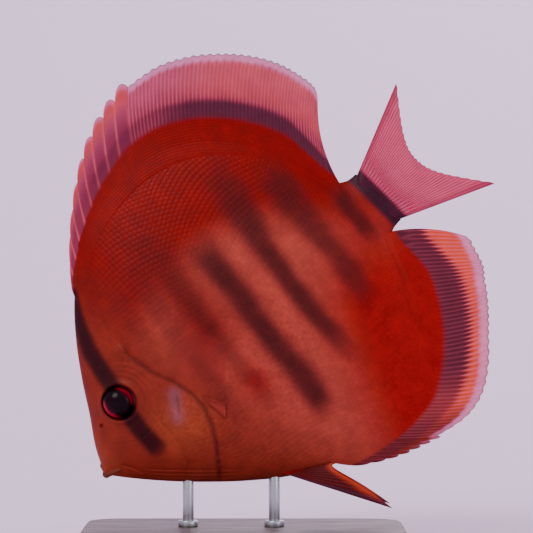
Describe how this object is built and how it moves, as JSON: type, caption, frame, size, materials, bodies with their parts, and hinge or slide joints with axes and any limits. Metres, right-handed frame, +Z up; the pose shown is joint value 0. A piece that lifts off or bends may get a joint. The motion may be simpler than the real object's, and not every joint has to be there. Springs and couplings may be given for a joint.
{
  "type": "discus fish display model",
  "caption": "Life-size still model of a red barred discus fish, nose down, on a flat display base with short steel rods.",
  "frame": {"origin": "centre of the stand base's underside", "axes": "+Z up; the fish faces down towards -X and its left side faces -Y; X and Z lie in the fish's middle plane"},
  "size_m": [0.1532, 0.066, 0.1779],
  "materials": {
    "skin": "satin, wet-looking scaled skin",
    "face": "satin, smooth skin",
    "lips": "satin",
    "fin": "satin membrane with raised rays",
    "eye": "high gloss",
    "stand_wood": "satin, dark stained",
    "stand_steel": "brushed"
  },
  "bodies": {
    "root": {"head": "face", "upper_lip": "lips", "lower_lip": "lips", "trunk": "skin", "tail_stalk": "skin", "eye_left": "eye", "eye_right": "eye", "gill_cover_left": "face", "gill_cover_right": "face", "pectoral_fin_left": "fin", "pectoral_fin_right": "fin", "pelvic_fin_left": "fin", "pelvic_fin_right": "fin", "dorsal_fin_spiny": "fin", "dorsal_fin_soft": "fin", "anal_fin_spiny": "fin", "anal_fin_soft": "fin", "stand_base": "stand_wood", "stand_rod_front": "stand_steel", "stand_rod_rear": "stand_steel", "tail_fin_upper": "fin", "tail_fin_lower": "fin"}
  },
  "joints": []
}
